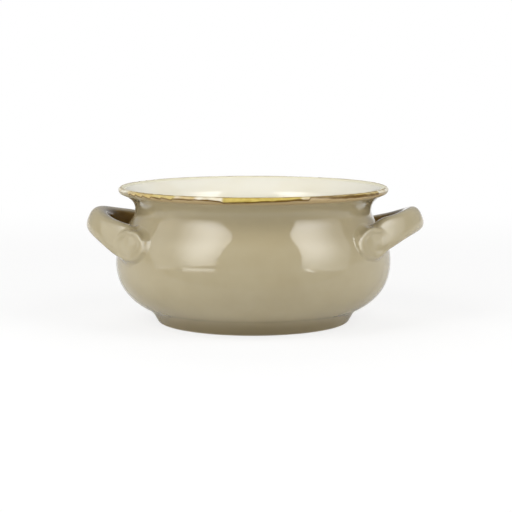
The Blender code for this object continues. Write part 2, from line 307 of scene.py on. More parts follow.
# Studio lights, which face the pot. Given for each: bearing in degrees right of the front, width, height of
# its low edge, length, tilt and lean in degrees, the hot spot's place across and up and its spread, the light
# at the edges and at the hot spot, and whether the glaze mirrors it
Softbox = namedtuple(
    "Softbox", "bearing width low length tilt lean hot_spot spread edge_light light mirrored"
)
EVEN_GLOW = ((0.5, 0.5), (0.9, 0.9))
LEFT_GLOW = ((0.236, 0.706), (0.424, 1.27))
RIGHT_GLOW = ((0.213, 0.631), (0.702, 0.90))
SOFTBOXES = {
    "left_softbox": Softbox(-65.9, 1.20, 0.12, 0.99, 39.9, 21.8, *LEFT_GLOW, 1.0, 5.7, True),
    "right_softbox": Softbox(66.7, 0.85, 0.0, 1.23, 28.3, -21.4, *RIGHT_GLOW, 0.9, 5.6, True),
    "left_low_strip": Softbox(-43.8, 0.57, 0.068, 0.100, 0.0, 8.0, *EVEN_GLOW, 2.0, 3.3, True),
    "right_low_strip": Softbox(46.3, 0.30, 0.002, 0.066, 0.0, -36.0, *EVEN_GLOW, 3.0, 4.4, True),
    "back_softbox": Softbox(180.0, 1.30, 0.45, 1.20, 25.0, 0.0, *EVEN_GLOW, 1.0, 1.9, False),
}
SOFTBOX_DISTANCE = 1.2

# The room: light from all round, grey overhead in reflections, floor and card
AMBIENT = 0.12
OVERHEAD = 0.45
OVERHEAD_RISE = (-0.02, 0.12)
FLOOR_HALF = 6.0
FLOOR_WHITENS = (0.25, 0.9)
FLOOR_WHITE_NEAR = 0.78
CARD_LOW = (-1.3, -2.6)
CARD_HIGH = (1.3, -0.168)
CARD_HEIGHT = 0.002
WHITE = (1.0, 1.0, 1.0, 1.0)
FLOOR_PAINT = (0.86, 0.86, 0.85, 1.0)
CARD_PAINT = (0.45, 0.45, 0.44, 1.0)

# Glaze colours, as linear light
TAUPE = (0.375, 0.321, 0.201)
TAUPE_CLOUD = (0.350, 0.295, 0.177)
# Darker taupe for the iron specks, and as painted shade in the neck under the lip
TAUPE_SPECK_AND_SHADE = (0.333, 0.278, 0.162)
# Dark brown painted shade for the strap's inner side, facing the wall
TAUPE_SHADE_INSIDE = (0.180, 0.105, 0.026)
# Painted shadow on the foot near the floor
TAUPE_FOOT_SHADOW = (0.262, 0.210, 0.118)
CREAM = (0.770, 0.745, 0.645)
CREAM_WARMTH = (0.985, 0.97, 0.93)
STRAW = (0.680, 0.648, 0.475)
OCHRE = (0.540, 0.420, 0.110)
GOLD = (0.340, 0.225, 0.040)
PINK = (0.500, 0.370, 0.200)
BROWN = (0.110, 0.056, 0.002)
UMBER = (0.210, 0.125, 0.020)
BARE_CLAY = (0.640, 0.560, 0.430)
UNDER_BLUSH = (0.400, 0.275, 0.125)

# Glaze surfaces: gloss, depth of their uneven skin, and the fineness of each pattern in waves per metre
GLAZE_IOR = 1.56
GLAZE_SHINE = 0.5
GLAZE_ROUGHNESS = 0.075
LINING_ROUGHNESS = 0.07
BARE_ROUGHNESS_GAIN = 0.6
RIM_ROUGHNESS = 0.32
RIM_SHINE = 0.2
SKIN_DEPTH = 0.00012
SKIN_STRENGTH = 0.35
SKIN_FINENESS = 140.0
LINING_SKIN_FINENESS = 120.0
CLOUD_FINENESS = 26.0
LINING_CLOUD_FINENESS = 30.0
SPECK_FINENESS = 900.0
STREAK_FINENESS = 380.0
PATCH_FINENESS = 210.0

# Where patterns start and are full, by the value of their noise or by share of the way across the rim
CLOUD_STEP = (0.35, 0.75)
SPECK_STEP = (0.74, 0.80)
SPECK_SHARE = 0.35
GOLD_PATCH_STEP = (0.40, 0.66)
GOLD_PATCH_SHARE = 0.35
BURNT_STEP = (0.46, 0.62)
LINE_SHAKE = 0.022
LINE_EDGE_STEP = (1.0, 0.35)
OVER_LINE_STEP = (-0.012, 0.012)
PAST_INNER_STEP = (-0.01, 0.03)
STRAW_STEP = (0.60, 1.0)

# Painted shade on the pot's glaze: a painted shadow over the foot's joint, near the floor, and painted shade
# round the neck under the lip
FOOT_SHADOW_STARTS = JOINT_HEIGHT + 0.005
FOOT_SHADOW_FULL = 0.004
FOOT_SHADOW_SHARE = 0.75
NECK_SHADE_DROP = 0.0060
NECK_SHADE_HALF = 0.0140
NECK_SHADE_FULL = 0.3 * NECK_SHADE_HALF
NECK_SHADE_SHARE = 0.7

LEVEL = np.array((1.0, 0.0))
UP = np.array((0.0, 1.0))
BASE = np.array((BASE_RADIUS, JOINT_HEIGHT))
BASE_DIRECTION = np.array((math.cos(BASE_SLOPE), math.sin(BASE_SLOPE)))
BELLY = np.array((BELLY_RADIUS, JOINT_HEIGHT + BELLY_RISE))
NECK = np.array((BELLY_RADIUS - SHOULDER_INSET, BELLY[1] + SHOULDER_RISE))
LIP_CENTRE = np.array((RIM_RADIUS, RIM_TOP)) - LIP_THICKNESS / 2
LIP_RISE = RIM_TOP - NECK[1]
LIP_DIRECTION = np.array((math.cos(LIP_SLOPE), math.sin(LIP_SLOPE)))
LIP_NORMAL = np.array((-LIP_DIRECTION[1], LIP_DIRECTION[0]))
FLOOR_TOP = JOINT_HEIGHT + FLOOR


def bezier(start, start_handle, end_handle, end, count):
    """Points of a cubic curve: the four corners weighed by the Bernstein polynomials of t."""
    t = np.linspace(0.0, 1.0, count)[:, None]
    s = 1.0 - t
    return s**3 * start + 3 * s * s * t * start_handle + 3 * s * t * t * end_handle + t**3 * end


def arc(centre, radius, first, last, count):
    """Points of a circle: its centre plus the radius along each angle."""
    angle = np.linspace(first, last, count)
    return centre + radius * np.stack((np.cos(angle), np.sin(angle)), axis=1)


def straight(start, end, count):
    """Points of a line: its ends mixed by an even share."""
    return start + np.linspace(0.0, 1.0, count)[:, None] * (end - start)


def joined(*stretches):
    """One path from stretches that each start where the last one ended."""
    return np.concatenate([stretches[0]] + [stretch[1:] for stretch in stretches[1:]])


def lengths_along(path):
    """Distance along a path at each of its points: running sum of its steps."""
    steps = np.linalg.norm(np.diff(path, axis=0), axis=1)
    return np.concatenate(([0.0], np.cumsum(steps)))


def at_lengths(path, wanted):
    """Points at wanted distances along a path, mixed between its own points."""
    along = lengths_along(path)
    return np.stack([np.interp(wanted, along, path[:, i]) for i in range(path.shape[1])], axis=1)


def air_side(path):
    """Unit normals of a path on its right-hand side, which is the air side of the clay here."""
    along = np.gradient(path, axis=0)
    along /= np.linalg.norm(along, axis=1)[:, None]
    return np.stack((along[:, 1], -along[:, 0]), axis=1)


def smooth_step(low, high, value):
    """0 below low, 1 above high, and the cubic 3t^2 - 2t^3 between them."""
    t = np.clip((value - low) / (high - low), 0.0, 1.0)
    return t * t * (3.0 - 2.0 * t)


def smooth_least(first, second, blend):
    """The smaller of two distances, rounded where they differ by less than the blend."""
    near = np.maximum(blend - np.abs(first - second), 0.0) / blend
    return np.minimum(first, second) - near * near * blend / 4


def bearings(columns):
    """Even bearings round an axis, one for each column."""
    return np.arange(columns) * 2 * math.pi / columns


def round_axis(radius, bearing, height):
    """Points at a radius from the pot's axis, a bearing round it and a height."""
    return np.stack((radius * np.cos(bearing), radius * np.sin(bearing), height), axis=-1)


def placed(points, matrix):
    """Points turned by a matrix's corner of three rows and moved by its last column."""
    return points @ matrix[:3, :3].T + matrix[:3, 3]


def shoulder_curve(belly, neck, count):
    """The shoulder: a curve that is upright at the belly and at the neck."""
    return bezier(
        belly,
        belly + UP * BELLY_FULLNESS_ABOVE * SHOULDER_RISE,
        neck - UP * NECK_FULLNESS_BELOW * SHOULDER_RISE,
        neck,
        count,
    )


def flare_curve(neck, lip, count):
    """The flare: a curve that is upright at the neck and comes to the lip along its slope."""
    return bezier(
        neck,
        neck + UP * NECK_FULLNESS_ABOVE * LIP_RISE,
        lip - LIP_DIRECTION * LIP_FULLNESS * LIP_RISE,
        lip,
        count,
    )


def side_path():
    """Outside of the pot from the foot's fillet over belly, shoulder and neck to the lip's underside."""
    underside = bezier(
        BASE,
        BASE + BASE_DIRECTION * BASE_FULLNESS * BELLY_RISE,
        BELLY - UP * BELLY_FULLNESS_BELOW * BELLY_RISE,
        BELLY,
        count=200,
    )
    return joined(
        at_lengths(underside, np.linspace(BASE_FILLET, lengths_along(underside)[-1], 44)),
        shoulder_curve(BELLY, NECK, count=48),
        flare_curve(NECK, LIP_CENTRE - LIP_NORMAL * LIP_CLAY, count=30),
    )


SIDE = side_path()


def foot_path():
    """Underside and foot ring: recess, standing face and battered side, its corners eased by curves."""
    batter = math.atan2(FOOT_TAPER, JOINT_HEIGHT)
    up_batter = np.array((math.sin(batter), math.cos(batter)))
    outer = BASE_RADIUS + (math.sin(batter) * (FOOT_EDGE - JOINT_HEIGHT) - FOOT_EDGE) / math.cos(batter)
    recess = np.array((FOOT_INNER, JOINT_HEIGHT))
    inner_centre = np.array((FOOT_INNER + FOOT_EDGE, FOOT_EDGE))
    inner_edge = arc(inner_centre, FOOT_EDGE, math.pi, 1.5 * math.pi, count=8)
    outer_edge = arc(np.array((outer, FOOT_EDGE)), FOOT_EDGE, 1.5 * math.pi, 2 * math.pi - batter, count=10)
    ceiling = recess - LEVEL * FOOT_FILLET
    wall_top = recess - UP * FOOT_FILLET
    fillet_start = BASE - up_batter * BASE_FILLET
    pull = BASE_FILLET_PULL * BASE_FILLET
    return joined(
        straight(UP * JOINT_HEIGHT, ceiling, count=12),
        bezier(ceiling, recess, recess, wall_top, count=8),
        straight(wall_top, inner_edge[0], count=3),
        inner_edge,
        straight(inner_edge[-1], outer_edge[0], count=5),
        outer_edge,
        straight(outer_edge[-1], fillet_start, count=4),
        bezier(fillet_start, BASE - up_batter * pull, BASE + BASE_DIRECTION * pull, SIDE[0], count=16),
    )


def lip_path():
    """The lip's round edge, from its underside over to its top."""
    return arc(LIP_CENTRE, LIP_CLAY, LIP_SLOPE - math.pi / 2, LIP_SLOPE + math.pi / 2, count=18)


def inside_path():
    """Inside of the pot, from the top of the lip down the wall and across the floor to its middle."""
    neck = NECK - LEVEL * WALL
    belly = BELLY - LEVEL * WALL
    floor_edge = np.array((BASE_RADIUS - FLOOR_CORNER, FLOOR_TOP))
    run, drop = belly - floor_edge
    corner = bezier(
        belly,
        belly - UP * BELLY_FULLNESS_BELOW * drop,
        floor_edge + LEVEL * FLOOR_FULLNESS * run,
        floor_edge,
        count=36,
    )
    return joined(
        flare_curve(neck, LIP_CENTRE + LIP_NORMAL * LIP_CLAY, count=26)[::-1],
        shoulder_curve(belly, neck, count=32)[::-1],
        corner,
        straight(floor_edge, UP * FLOOR_TOP, count=16),
    )


def unevenness(bearing, height):
    """Sum of low waves round and up the pot, brought down so that none stands past the true radius."""
    total = sum(size * np.sin(count * bearing + turns * 2 * math.pi * height + phase)
                for size, count, turns, phase in WAVES)
    return total - WAVE_MARGIN


def spun(section, columns):
    """A profile carried round the pot's axis: rows are profile points, columns are bearings.

    The profile may differ from column to column. Its unevenness fades out from the foot to the axis.
    """
    bearing = bearings(columns)
    radius, height = np.moveaxis(np.broadcast_to(section, (len(section), columns, 2)), -1, 0)
    uneven = np.minimum(radius / BASE_RADIUS, 1.0) * unevenness(bearing, height)
    return round_axis(radius + uneven, bearing, height)


def wall_radius(bearing, height):
    """Radius of the pot's outside at a bearing and a height, unevenness included."""
    return np.interp(height, SIDE[:, 1], SIDE[:, 0]) + unevenness(bearing, height)


def wall_outward(point):
    """Unit normals of the pot's outside: level along the bearing, upright by the profile's slope."""
    bearing = np.arctan2(point[..., 1], point[..., 0])
    over = wall_radius(bearing, point[..., 2] + WALL_STEP)
    under = wall_radius(bearing, point[..., 2] - WALL_STEP)
    normal = round_axis(np.ones_like(bearing), bearing, (under - over) / (2 * WALL_STEP))
    return normal / np.linalg.norm(normal, axis=-1, keepdims=True)


def outside_wall(point):
    """Level distance of points from the pot's outside, positive in the air."""
    bearing = np.arctan2(point[..., 1], point[..., 0])
    return np.hypot(point[..., 0], point[..., 1]) - wall_radius(bearing, point[..., 2])


def wall_distance(point):
    """Distance from the pot's outside: the level distance shortened by the wall's slope."""
    normal = wall_outward(point)
    return outside_wall(point) * np.hypot(normal[..., 0], normal[..., 1])


def shown(name, data):
    """A new object in the scene, at the origin."""
    made = bpy.data.objects.new(name, data)
    bpy.context.scene.collection.objects.link(made)
    return made


def surface(name, points, material, across=None, poles=None):
    """A closed mesh from a grid whose columns wrap round.

    Each cell is a face. Two poles close the first and the last row with fans of triangles; with no poles the
    last row joins the first, as a ring's section does. The UV map runs 0 to 1 round the columns, and along
    the rows by the values in across, or evenly.
    """
    rows, columns = points.shape[:2]
    grid = np.arange(rows * columns).reshape(rows, columns)
    ring = poles is None
    below = grid if ring else grid[:-1]
    above = np.roll(grid, -1, axis=0) if ring else grid[1:]
    quads = np.stack((below, np.roll(below, -1, axis=1), np.roll(above, -1, axis=1), above), axis=2)
    vertices = points.reshape(-1, 3)
    faces = quads.reshape(-1, 4).tolist()
    share = np.linspace(0.0, 1.0, rows) if across is None else across
    u = np.arange(columns + 1) / columns
    low = share if ring else share[:-1]
    high = np.append(share[1:], 1.0) if ring else share[1:]
    corners = np.empty((len(low), columns, 4, 2))
    corners[..., 0, 0] = corners[..., 3, 0] = u[:-1]
    corners[..., 1, 0] = corners[..., 2, 0] = u[1:]
    corners[..., 0, 1] = corners[..., 1, 1] = low[:, None]
    corners[..., 2, 1] = corners[..., 3, 1] = high[:, None]
    uvs = [corners.reshape(-1, 2)]
    if not ring:
        tips = len(vertices) + np.arange(2)
        vertices = np.concatenate((vertices, poles))
        for tip, row, v, turn in ((tips[0], grid[0], 0.0, 1), (tips[1], grid[-1], 1.0, -1)):
            fan = np.stack((np.full(columns, tip), np.roll(row, -1), row), axis=1)
            fan_u = np.stack((u[:-1], u[1:], u[:-1]), axis=1)
            faces += fan[:, ::turn].tolist()
            uvs.append(np.stack((fan_u, np.full_like(fan_u, v)), axis=2)[:, ::turn].reshape(-1, 2))
    mesh = bpy.data.meshes.new(name)
    mesh.from_pydata(vertices.tolist(), [], faces)
    layer = mesh.uv_layers.new(name="glaze_map")
    layer.data.foreach_set("uv", np.concatenate(uvs).ravel())
    mesh.shade_smooth()
    mesh.materials.append(material)
    return shown(name, mesh)


def keep_values(piece, name, values):
    """Stores one number for each grid point of a piece, and 0 for its poles, for its material to read."""
    kept = np.zeros(len(piece.data.vertices), np.float32)
    kept[:values.size] = values.ravel()
    piece.data.attributes.new(name, "FLOAT", "POINT").data.foreach_set("value", kept)


def settle(piece, slot, *nodes):
    """Rides a piece on the root body, in place of its CAD nodes, which it hides."""
    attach(piece, "root")
    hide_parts(*nodes)


class Nodes:
    """The node tree of a material, lamp or world, with short ways to add and join its nodes."""

    def __init__(self, owner):
        owner.use_nodes = True
        self.tree = owner.node_tree
        self.tree.nodes.clear()

    def add(self, kind, inputs=None, **settings):
        """A node with its settings; each input is joined to a socket or set to a value."""
        node = self.tree.nodes.new(kind)
        for name, value in settings.items():
            setattr(node, name, value)
        for name, value in (inputs or {}).items():
            if isinstance(value, bpy.types.NodeSocket):
                self.tree.links.new(value, node.inputs[name])
            else:
                node.inputs[name].default_value = value
        return node

    def math(self, operation, first, second=0.0, third=0.0):
        """The result of an operation on up to three numbers."""
        inputs = {0: first, 1: second, 2: third}
        return self.add("ShaderNodeMath", inputs, operation=operation).outputs[0]

    def step(self, low, high, value):
        """A smooth step from 0 at low to 1 at high."""
        inputs = {"Value": value, "From Min": low, "From Max": high}
        return self.add("ShaderNodeMapRange", inputs, interpolation_type="SMOOTHSTEP").outputs["Result"]

    def mix(self, share, first, second):
        """The first colour, with a share of the second one laid over it."""
        under, over = [c if isinstance(c, bpy.types.NodeSocket) else (*c, 1.0) for c in (first, second)]
        return self.add("ShaderNodeMix", {0: share, 6: under, 7: over}, data_type="RGBA").outputs[2]

    def place(self):
        """The place on the object, in metres."""
        return self.add("ShaderNodeTexCoord").outputs["Object"]

    def part(self, vector, axis):
        """One axis of a vector."""
        return self.add("ShaderNodeSeparateXYZ", {0: vector}).outputs[axis]

    def length(self, vector):
        """How long a vector is."""
        return self.add("ShaderNodeVectorMath", {0: vector}, operation="LENGTH").outputs["Value"]

    def noise(self, fineness, detail=2.0, roughness=0.5):
        """Soft noise over the place on the object."""
        inputs = {"Vector": self.place(), "Scale": fineness, "Detail": detail, "Roughness": roughness}
        return self.add("ShaderNodeTexNoise", inputs).outputs["Fac"]

    def value(self, name):
        """A number that the piece keeps for each of its vertices."""
        return self.add("ShaderNodeAttribute", attribute_name=name).outputs["Fac"]

    def mirrored(self, rays):
        """1 for the rays that show a thing in a reflection or through glass."""
        return self.math("MAXIMUM", rays.outputs["Is Glossy Ray"], rays.outputs["Is Transmission Ray"])


def new_material(name):
    """A material and its empty node tree."""
    material = bpy.data.materials.new(name)
    return material, Nodes(material)


def glaze_surface(nodes, colour, skin, roughness, shine=GLAZE_SHINE):
    """A fired glaze over a colour, its skin slightly uneven."""
    bump = nodes.add("ShaderNodeBump", {"Height": skin, "Distance": SKIN_DEPTH, "Strength": SKIN_STRENGTH})
    shader = nodes.add(
        "ShaderNodeBsdfPrincipled",
        {
            "Base Color": colour,
            "Roughness": roughness,
            "IOR": GLAZE_IOR,
            "Specular IOR Level": shine,
            "Normal": bump.outputs["Normal"],
        },
    )
    nodes.add("ShaderNodeOutputMaterial", {"Surface": shader.outputs["BSDF"]})


def taupe_colour(nodes):
    """Taupe that pools darker in soft clouds, with a scatter of fine iron specks."""
    clouds = nodes.noise(CLOUD_FINENESS, detail=3.0, roughness=0.55)
    cloudy = nodes.mix(nodes.step(*CLOUD_STEP, clouds), TAUPE, TAUPE_CLOUD)
    fine = nodes.noise(SPECK_FINENESS, detail=1.0, roughness=0.4)
    specks = nodes.math("MULTIPLY", nodes.step(*SPECK_STEP, fine), SPECK_SHARE)
    return nodes.mix(specks, cloudy, TAUPE_SPECK_AND_SHADE)


def handle_glaze():
    """The taupe glaze, with a dark brown painted shade where the handle's stored value marks the strap's
    inner side.
    """
    material, nodes = new_material("taupe_glaze")
    colour = nodes.mix(nodes.value("painted_shade"), taupe_colour(nodes), TAUPE_SHADE_INSIDE)
    glaze_surface(nodes, colour, nodes.noise(SKIN_FINENESS), GLAZE_ROUGHNESS)
    return material


def pot_glaze():
    """The taupe glaze, with a painted shadow on the foot and painted shade in the neck under the lip, wiped
    off the standing face.
    """
    material, nodes = new_material("taupe_glaze_on_pot")
    bare = nodes.value("wiped")
    height = nodes.part(nodes.place(), "Z")
    # Painted shade round the neck, under the lip's overhang
    from_neck = nodes.math("ABSOLUTE", nodes.math("SUBTRACT", height, NECK[1] - NECK_SHADE_DROP))
    neck_shade = nodes.math("MULTIPLY", nodes.step(NECK_SHADE_HALF, NECK_SHADE_FULL, from_neck), NECK_SHADE_SHARE)
    # Painted shadow darkening the foot near the floor
    foot_shadow = nodes.math("MULTIPLY", nodes.step(FOOT_SHADOW_STARTS, FOOT_SHADOW_FULL, height), FOOT_SHADOW_SHARE)
    glaze = nodes.mix(neck_shade, taupe_colour(nodes), TAUPE_SPECK_AND_SHADE)
    with_foot_shadow = nodes.mix(foot_shadow, glaze, TAUPE_FOOT_SHADOW)
    colour = nodes.mix(bare, with_foot_shadow, BARE_CLAY)
    rough = nodes.math("MULTIPLY_ADD", bare, BARE_ROUGHNESS_GAIN, GLAZE_ROUGHNESS)
    glaze_surface(nodes, colour, nodes.noise(SKIN_FINENESS), rough)
    return material


def lining_glaze():
    """Cream glaze with faint warm clouds."""
    material, nodes = new_material("cream_lining_glaze")
    clouds = nodes.step(*CLOUD_STEP, nodes.noise(LINING_CLOUD_FINENESS, detail=3.0, roughness=0.55))
    warm = tuple(c * k for c, k in zip(CREAM, CREAM_WARMTH))
    skin = nodes.noise(LINING_SKIN_FINENESS)
    glaze_surface(nodes, nodes.mix(clouds, CREAM, warm), skin, LINING_ROUGHNESS)
    return material


def rim_glaze():
    """Brushed rim: taupe and a blush below a wavering brown line, ochre, gold, pink or cream above it.

    Past a fine line inside the lip it goes from straw to cream. The piece's own UV map gives the way across
    the lip, and its stored values say where the lines run, how wide and dark they are, and how full each
    colour lies there.
    """
    material, nodes = new_material("brushed_rim_glaze")
    way = nodes.part(nodes.add("ShaderNodeUVMap", uv_map="glaze_map").outputs[0], "Y")
    streaks = nodes.noise(STREAK_FINENESS)
    patches = nodes.noise(PATCH_FINENESS)
    shake = nodes.math("MULTIPLY", nodes.math("SUBTRACT", streaks, 0.5), LINE_SHAKE)
    shaken = nodes.math("ADD", way, shake)

    def line(name):
        past = nodes.math("SUBTRACT", shaken, nodes.value(name + "_at"))
        share = nodes.math("DIVIDE", nodes.math("ABSOLUTE", past), nodes.value(name + "_width"))
        return past, nodes.math("MULTIPLY", nodes.step(*LINE_EDGE_STEP, share), nodes.value(name + "_dark"))

    past_line, brown_line = line("line")
    past_inner, inner_line = line("inner")
    over_line = nodes.step(*OVER_LINE_STEP, past_line)
    inside = nodes.step(*PAST_INNER_STEP, past_inner)
    gold_patches = nodes.math("MULTIPLY", nodes.step(*GOLD_PATCH_STEP, patches), GOLD_PATCH_SHARE)
    burnt = nodes.mix(nodes.step(*BURNT_STEP, patches), GOLD, BROWN)
    ochre = nodes.mix(nodes.value("gold"), nodes.mix(gold_patches, OCHRE, GOLD), burnt)
    pale = nodes.mix(nodes.value("pink"), CREAM, PINK)
    brushed = nodes.mix(nodes.value("ochre"), pale, ochre)
    upper = nodes.mix(inside, brushed, nodes.mix(nodes.step(*STRAW_STEP, way), STRAW, CREAM))
    under = nodes.mix(nodes.value("blush"), taupe_colour(nodes), UNDER_BLUSH)
    colour = nodes.mix(over_line, under, upper)
    colour = nodes.mix(inner_line, colour, UMBER)
    colour = nodes.mix(brown_line, colour, BROWN)
    glaze_surface(nodes, colour, streaks, RIM_ROUGHNESS, RIM_SHINE)
    return material


def build_pot(material):
    """The thrown pot and its foot in one glazed skin: foot, side, lip and inside spun round the axis.

    Its value "wiped" is 1 on the standing face and falls by a smooth step up the foot's edges.
    """
    path = joined(foot_path(), SIDE, lip_path(), inside_path())
    points = spun(path[1:-1, None], POT_COLUMNS)
    poles = ((0.0, 0.0, path[0, 1]), (0.0, 0.0, path[-1, 1]))
    pot = surface("stoneware_pot", points, material, poles=poles)
    low = smooth_step(WIPED_TOP, WIPED_FULL, points[..., 2])
    under = np.hypot(points[..., 0], points[..., 1]) > FOOT_INNER - FOOT_EDGE
    keep_values(pot, "wiped", low * under)
    settle(pot, "outer_glaze", "bowl_body", "foot_ring")


def build_lining(material):
    """The poured lining: a thin shell over the pot's inside, tucked under the rim's coat."""
    path = inside_path()
    normal = air_side(path)
    over = path + normal * LINING_COAT
    under = path - normal * COAT_BURIED
    section = np.concatenate((under[:-1][::-1], over[:-1]))
    poles = ((0.0, 0.0, under[-1, 1]), (0.0, 0.0, over[-1, 1]))
    lining = surface("poured_lining", spun(section[:, None], LINING_COLUMNS), material, poles=poles)
    settle(lining, "lining_glaze", "lining_glaze")


def wavering(bearing, waver):
    """A closed wavering line: a sum of sines round the pot with phases drawn from a seed."""
    phases = np.random.default_rng(waver.seed).uniform(0.0, 2 * math.pi, len(waver.counts))
    waves = zip(waver.counts, waver.sizes, phases)
    return sum(size * np.sin(count * bearing + phase) for count, size, phase in waves)


def lip_way(degrees):
    """Share of the way across the rim strip of a place on the lip's round, by its angle over the level."""
    over = math.radians(1.0) * np.asarray(degrees) - LIP_SLOPE + math.pi / 2
    return (RIM_UNDER + over * LIP_CLAY) / RIM_LENGTH


def brush_values(bearing):
    """How the brush went round the rim, as values by bearing.

    Each stretch's values count where the bearing lies between its start and the next one's, eased over the
    join. Scallops are saw teeth that swell along each stroke, and low waves with seeded phases make the line
    waver in place, width and darkness.
    """
    right = np.arctan2(np.cos(bearing), -np.sin(bearing))
    degrees = np.degrees(right)
    starts = np.array([start for start, _ in BRUSHWORK])
    ends = np.append(starts[1:], 180.0)
    brushes = np.array([BRUSHES[name] for _, name in BRUSHWORK], float)
    begun = smooth_step(starts[:, None] - BRUSH_EASE, starts[:, None] + BRUSH_EASE, degrees)
    begun[0] = 1.0
    weight = begun - np.append(begun[1:], np.zeros((1, len(degrees))), axis=0)
    run = np.clip((degrees - starts[:, None]) / (ends - starts)[:, None], 0.0, 1.0)
    lined = brushes[:, :1] + (brushes[:, 1:2] - brushes[:, :1]) * run
    line = (weight * lined).sum(axis=0)
    scallop, width, dark, ochre, pink, gold = brushes[:, 2:].T @ weight
    drift_size, drift_waves, drift_phase = SCALLOP_DRIFT
    spacing_drift = drift_size * np.sin(drift_waves * right + drift_phase)
    stroke = (SCALLOPS * right + spacing_drift) / math.pi % 1.0
    lobes = stroke**SCALLOP_SWELL * smooth_step(1.0, SCALLOP_END, stroke)
    drift = wavering(bearing, LINE_DRIFT)
    blotch = wavering(bearing, BLOTCHES)
    inner_dark = INNER_DARK + INNER_DARK_GAIN * np.minimum(ochre + pink, 1.0) + wavering(bearing, INNER_FADE)
    inner_rise = INNER_RISE * smooth_step(INNER_RISES_FROM, INNER_RISES_TO, np.abs(degrees))
    return {
        "line_at": lip_way(line - scallop * lobes + drift),
        "line_width": (width + wavering(bearing, LINE_SWELL)) / RIM_LENGTH,
        "line_dark": np.clip(dark + wavering(bearing, LINE_FADE), LINE_LEAST_DARK, 1.0),
        "ochre": np.clip(ochre + OCHRE_BLOTCHES * blotch * (1.0 - ochre), 0.0, 1.0),
        "pink": np.clip(pink + PINK_BLOTCHES * blotch, 0.0, 1.0),
        "gold": gold,
        "blush": BLUSH * smooth_step(*BLUSH_STARTS, degrees) * smooth_step(*BLUSH_ENDS, degrees),
        "inner_at": lip_way(INNER_ANGLE + inner_rise + drift),
        "inner_width": (INNER_WIDTH + wavering(bearing, INNER_SWELL)) / RIM_LENGTH,
        "inner_dark": np.clip(inner_dark, INNER_LEAST_DARK, 1.0),
        "between_scallops": scallop / SCALLOP_FULL * (1.0 - lobes),
    }


def build_rim(material):
    """The brushed coat over the lip: a strip of the profile spun round, thin at its edges.

    It is deeper past the brown line by a smooth step, and shallower between scallops.
    """
    share = np.linspace(0.0, 1.0, RIM_ROWS)
    start = lengths_along(SIDE)[-1] - RIM_UNDER
    strip = at_lengths(joined(SIDE, lip_path(), inside_path()), start + RIM_LENGTH * share)
    normal = air_side(strip)
    values = brush_values(bearings(RIM_COLUMNS))
    body = smooth_step(0.0, RIM_FULL[0], share) * smooth_step(1.0, RIM_FULL[1], share)
    past_line = smooth_step(*RIM_LINE_STEP, share[:, None] - values["line_at"])
    relief = RIM_UNDER_LINE + (1.0 - RIM_UNDER_LINE) * past_line
    relief = relief - RIM_SCALLOP_LOSS * values.pop("between_scallops")
    depth = (RIM_COAT + RIM_EDGE_SUNK) * body[:, None] * np.clip(relief, 0.0, 1.0) - RIM_EDGE_SUNK
    coat = strip[:, None] + normal[:, None] * depth[..., None]
    back = np.repeat((strip - normal * COAT_BURIED)[::-1, None], RIM_COLUMNS, axis=1)
    points = spun(np.concatenate((coat, back)), RIM_COLUMNS)
    rim = surface("brushed_rim", points, material, across=np.concatenate((share, share[::-1])))
    for name, value in values.items():
        keep_values(rim, name, np.repeat(value[None], len(points), axis=0))
    settle(rim, "rim_glaze", "rim_glaze_band")


def overhang(tilt):
    """How far a tilted strap section stands out, sideways, from its own centre line."""
    power = STRAP_SQUARENESS / (STRAP_SQUARENESS - 1)
    across = (STRAP_THICKNESS / 2 * math.cos(tilt)) ** power
    up = (STRAP_WIDTH / 2 * math.sin(tilt)) ** power
    return (across + up) ** (1 / power)


def loop_placing(handle):
    """Matrix of a handle's loop: its X runs out along the tilted loop, its Y across it from arm to arm."""
    tilt = handle.tilt
    height = BELLY[1] + ROOT_RISE
    middle = handle.reach - REACH_MARGIN - overhang(tilt) - LOOP_DEPTH * math.cos(tilt)
    root = math.sqrt(float(wall_radius(0.0, height)) ** 2 - LOOP_HALF_SPAN**2)
    start = (middle, 0.0, height - (root - middle) * math.tan(tilt))
    lean = Matrix.Rotation(-tilt, 4, "Y") @ Matrix.Rotation(handle.roll, 4, "X")
    return np.array(Matrix.Rotation(handle.azimuth, 4, "Z") @ Matrix.Translation(start) @ lean)


def meeting_turn(where, low, side):
    """Turn at which each line along the strap goes into the wall, by halving between air and clay."""
    high = np.full_like(low, side * math.pi / 2)
    for _ in range(HALVINGS):
        middle = (low + high) / 2
        in_air = outside_wall(where(middle)) > 0
        low = np.where(in_air, middle, low)
        high = np.where(in_air, high, middle)
    return low


def carried_on(points, field, level, rounds):
    """Grid points carried along a field's slope until the field has the wanted level there."""
    for _ in range(rounds):
        value = field(points)
        ahead = [field(points + FIELD_STEP * axis) for axis in np.eye(3)]
        slope = (np.stack(ahead, axis=-1) - value[..., None]) / FIELD_STEP
        size = (slope * slope).sum(axis=-1)
        move = np.clip((level - value) / np.maximum(size, LEAST_SLOPE), -MOST_MOVE, MOST_MOVE)
        points = points + move[..., None] * slope
    return points


def evened(points, share):
    """Grid points moved part of the way to the middle of their four neighbours, except in the end rows."""
    middle = points.copy()
    around = np.roll(points, 1, axis=1) + np.roll(points, -1, axis=1)
    middle[1:-1] = (around[1:-1] + points[2:] + points[:-2]) / 4
    return points + share[..., None] * (middle - points)


def by_facing(toward_front, front, side, back):
    """A length that goes from its back value through its side value to its front one, by squared cosine."""
    ahead = np.maximum(toward_front, 0.0) ** 2
    behind = np.maximum(-toward_front, 0.0) ** 2
    return side + (front - side) * ahead + (back - side) * behind


